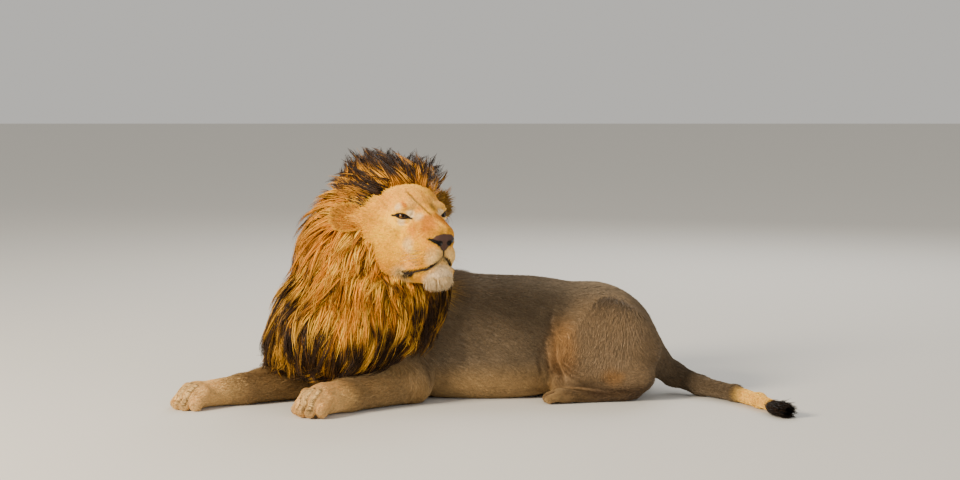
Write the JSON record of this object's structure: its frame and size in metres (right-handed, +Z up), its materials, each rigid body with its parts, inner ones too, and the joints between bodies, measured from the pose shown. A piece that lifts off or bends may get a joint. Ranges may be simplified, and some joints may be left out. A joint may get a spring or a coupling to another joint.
{
  "type": "life-size model of a resting male lion",
  "caption": "Still life-size model of a maned lion that lies on its chest, forelegs stretched forward, head raised and turned to its left, tail laid back on the floor",
  "frame": {"origin": "centre of the bounding box at floor level, under the lying body", "axes": "+Z up; +X from the head to the tail along the body; the left flank faces -Y"},
  "size_m": [2.0558, 0.808, 0.8433],
  "materials": {
    "body_coat": "short grey-brown fur, dull",
    "leg_coat": "short sandy fur, dull",
    "face_coat": "short golden fur, dull",
    "chin_coat": "long pale fur, dull",
    "mane_hair": "long golden hair with dark tips, faint sheen",
    "dark_hair": "long dark hair, faint sheen",
    "tail_end_coat": "orange fur, dull",
    "nose_leather": "bare pebbled skin, slightly moist",
    "eyes": "polished, amber iris"
  },
  "bodies": {
    "root": {"head": "face_coat", "lower_jaw": "chin_coat", "nose": "nose_leather", "eye_left": "eyes", "eye_right": "eyes", "ear_left": "face_coat", "ear_right": "face_coat", "mane_crest": "mane_hair", "mane_left": "mane_hair", "mane_right": "mane_hair", "mane_breast": "dark_hair", "neck": "body_coat", "trunk": "body_coat", "upper_arm_left": "leg_coat", "forearm_left": "leg_coat", "forepaw_left": "leg_coat", "upper_arm_right": "leg_coat", "forearm_right": "leg_coat", "forepaw_right": "leg_coat", "thigh_left": "body_coat", "shank_left": "leg_coat", "hind_foot_left": "leg_coat", "thigh_right": "body_coat", "shank_right": "leg_coat", "hind_foot_right": "leg_coat", "tail_base": "body_coat", "tail_middle": "body_coat", "tail_end": "tail_end_coat", "tail_tuft": "dark_hair"}
  },
  "joints": []
}
